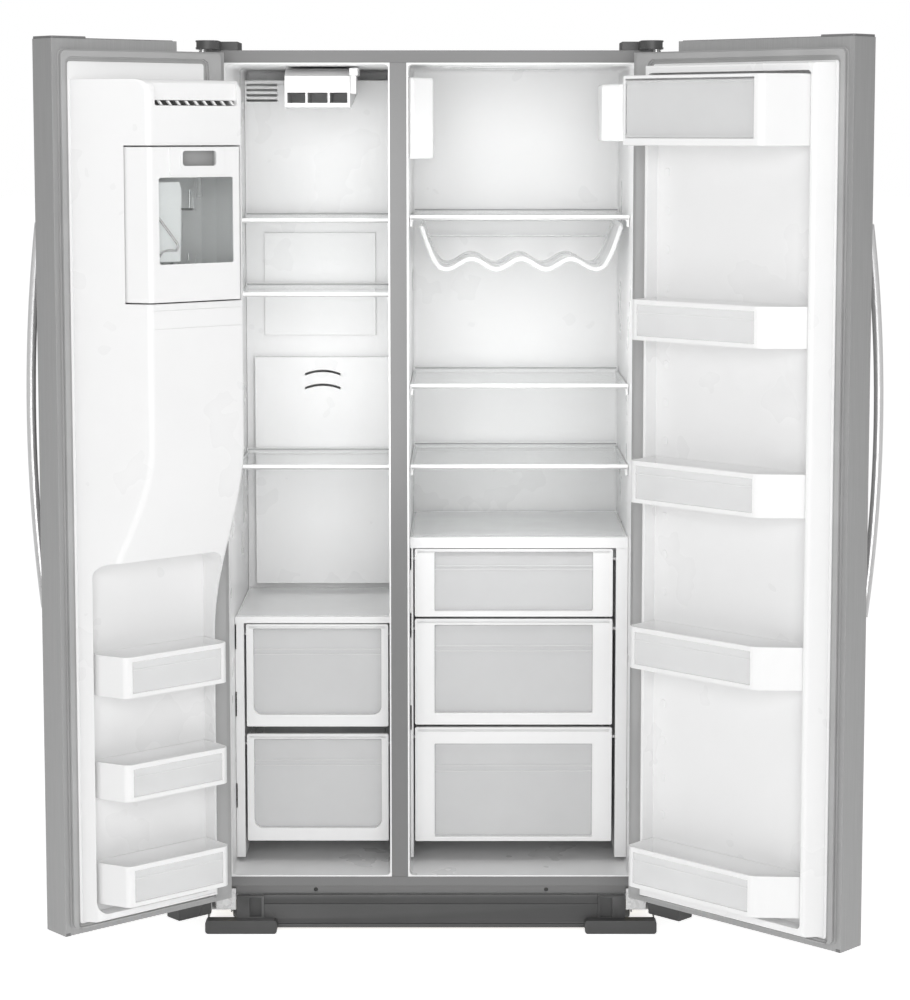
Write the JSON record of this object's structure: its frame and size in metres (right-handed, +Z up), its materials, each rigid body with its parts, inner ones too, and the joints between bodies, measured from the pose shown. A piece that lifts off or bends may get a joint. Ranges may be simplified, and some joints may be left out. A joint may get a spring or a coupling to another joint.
{
  "type": "side by side refrigerator",
  "caption": "Side by side refrigerator with both doors open: shelves, drawers, door bins, in-door ice bin and outside dispenser; doors, drawers, flap, bin, lever, fans, rollers and legs move.",
  "frame": {"origin": "on the floor, at the middle of the outline that the refrigerator covers with both doors open", "axes": "+Z up; the front of the cabinet faces -Y; +X to the right for someone facing the front"},
  "size_m": [1.6139, 1.0572, 1.792],
  "materials": {
    "cabinet_paint": "satin",
    "door_paint": "satin",
    "galvanised": "satin",
    "foam": "matte",
    "liner_white": "satin",
    "white_plastic": "satin",
    "grille_plastic": "matte",
    "machine_black": "satin",
    "machine_plastic": "matte",
    "bare_aluminium": "satin",
    "shelf_glass": "gloss",
    "clear_plastic": "gloss",
    "zinc_steel": "satin",
    "roller_nylon": "matte",
    "seal_rubber": "matte",
    "handle_steel": "satin",
    "wire_chrome": "polished",
    "dispenser_black": "satin"
  },
  "bodies": {
    "cabinet": {"cabinet_shell": "cabinet_paint", "back_panel": "galvanised", "foam_insulation": "foam", "freezer_liner": "liner_white", "fridge_liner": "liner_white", "front_rails": "cabinet_paint", "base_chassis": "galvanised", "base_grille": "grille_plastic", "compressor": "machine_black", "condenser": "machine_black", "evaporator": "bare_aluminium", "evaporator_cover": "liner_white", "air_duct": "white_plastic", "freezer_shelves": "shelf_glass", "freezer_drawer_frame": "white_plastic", "control_covers": "white_plastic", "fridge_shelf_upper": "shelf_glass", "fridge_shelf_middle": "shelf_glass", "fridge_shelf_lower": "shelf_glass", "bottle_rack": "clear_plastic", "crisper_frame": "white_plastic", "door_hinges": "zinc_steel", "hinge_covers": "grille_plastic", "rear_inlets": "white_plastic"},
    "freezer_door": {"freezer_door_shell": "door_paint", "freezer_door_foam": "foam", "freezer_door_liner": "liner_white", "freezer_door_gasket": "seal_rubber", "freezer_door_handle": "handle_steel", "freezer_bin_upper": "clear_plastic", "freezer_bin_middle": "clear_plastic", "freezer_bin_lower": "clear_plastic", "ice_maker": "bare_aluminium", "dispenser_housing": "dispenser_black", "drip_tray": "dispenser_black"},
    "ice_bin": {"ice_bin": "white_plastic"},
    "ice_auger": {"ice_auger": "wire_chrome"},
    "dispenser_paddle": {"dispenser_paddle": "dispenser_black"},
    "fridge_door": {"fridge_door_shell": "door_paint", "fridge_door_foam": "foam", "fridge_door_liner": "liner_white", "fridge_door_gasket": "seal_rubber", "fridge_door_handle": "handle_steel", "door_bin_1": "clear_plastic", "door_bin_2": "clear_plastic", "door_bin_3": "clear_plastic", "door_bin_4": "clear_plastic", "dairy_box": "white_plastic"},
    "dairy_flap": {"dairy_flap": "clear_plastic"},
    "freezer_drawer_upper": {"freezer_drawer_upper": "clear_plastic"},
    "freezer_drawer_lower": {"freezer_drawer_lower": "clear_plastic"},
    "crisper_upper": {"crisper_upper": "clear_plastic"},
    "crisper_middle": {"crisper_middle": "clear_plastic"},
    "crisper_lower": {"crisper_lower": "clear_plastic"},
    "front_rollers": {"front_rollers": "roller_nylon"},
    "rear_rollers": {"rear_rollers": "roller_nylon"},
    "leg_left": {"leg_left": "zinc_steel"},
    "leg_right": {"leg_right": "zinc_steel"},
    "condenser_fan": {"condenser_fan": "machine_plastic"},
    "evaporator_fan": {"evaporator_fan": "white_plastic"}
  },
  "joints": [
    {"name": "freezer_door_hinge", "type": "hinge", "parent": "cabinet", "child": "freezer_door", "pos_m": [-0.48167, -0.13935, 1], "axis": [0, 0, -1], "range_deg": [-139, 0]},
    {"name": "fridge_door_hinge", "type": "hinge", "parent": "cabinet", "child": "fridge_door", "pos_m": [0.39833, -0.13935, 1], "axis": [0, 0, 1], "range_deg": [-136.4, 0]},
    {"name": "freezer_drawer_upper_slide", "type": "slide", "parent": "cabinet", "child": "freezer_drawer_upper", "axis": [0, -1, 0], "range_m": [0, 0.29]},
    {"name": "freezer_drawer_lower_slide", "type": "slide", "parent": "cabinet", "child": "freezer_drawer_lower", "axis": [0, -1, 0], "range_m": [0, 0.26]},
    {"name": "crisper_upper_slide", "type": "slide", "parent": "cabinet", "child": "crisper_upper", "axis": [0, -1, 0], "range_m": [0, 0.29]},
    {"name": "crisper_middle_slide", "type": "slide", "parent": "cabinet", "child": "crisper_middle", "axis": [0, -1, 0], "range_m": [0, 0.29]},
    {"name": "crisper_lower_slide", "type": "slide", "parent": "cabinet", "child": "crisper_lower", "axis": [0, -1, 0], "range_m": [0, 0.26]},
    {"name": "ice_bin_slide", "type": "slide", "parent": "freezer_door", "child": "ice_bin", "axis": [0.6561, -0.7547, 0], "range_m": [0, 0.15]},
    {"name": "ice_auger_spin", "type": "hinge", "parent": "ice_bin", "child": "ice_auger", "pos_m": [-0.52429, -0.34335, 1.4], "axis": [0, 0, 1], "continuous": true},
    {"name": "dispenser_paddle_hinge", "type": "hinge", "parent": "freezer_door", "child": "dispenser_paddle", "pos_m": [-0.61096, -0.26499, 1.218], "axis": [-0.7547, -0.6561, 0], "range_deg": [0, 7]},
    {"name": "dairy_flap_hinge", "type": "hinge", "parent": "fridge_door", "child": "dairy_flap", "pos_m": [0.4342, -0.3917, 1.709], "axis": [-0.7242, 0.6896, 0], "range_deg": [0, 85]},
    {"name": "front_roller_spin", "type": "hinge", "parent": "cabinet", "child": "front_rollers", "pos_m": [-0.04167, 0.01065, 0.022], "axis": [1, 0, 0], "continuous": true},
    {"name": "rear_roller_spin", "type": "hinge", "parent": "cabinet", "child": "rear_rollers", "pos_m": [-0.04167, 0.46565, 0.022], "axis": [1, 0, 0], "continuous": true},
    {"name": "leg_left_adjust", "type": "slide", "parent": "cabinet", "child": "leg_left", "axis": [0, 0, 1], "range_m": [0, 0.012]},
    {"name": "leg_right_adjust", "type": "slide", "parent": "cabinet", "child": "leg_right", "axis": [0, 0, 1], "range_m": [0, 0.012]},
    {"name": "condenser_fan_spin", "type": "hinge", "parent": "cabinet", "child": "condenser_fan", "pos_m": [0.21133, 0.44265, 0.128], "axis": [1, 0, 0], "continuous": true},
    {"name": "evaporator_fan_spin", "type": "hinge", "parent": "cabinet", "child": "evaporator_fan", "pos_m": [-0.28367, 0.39765, 1.24], "axis": [0, 1, 0], "continuous": true}
  ]
}
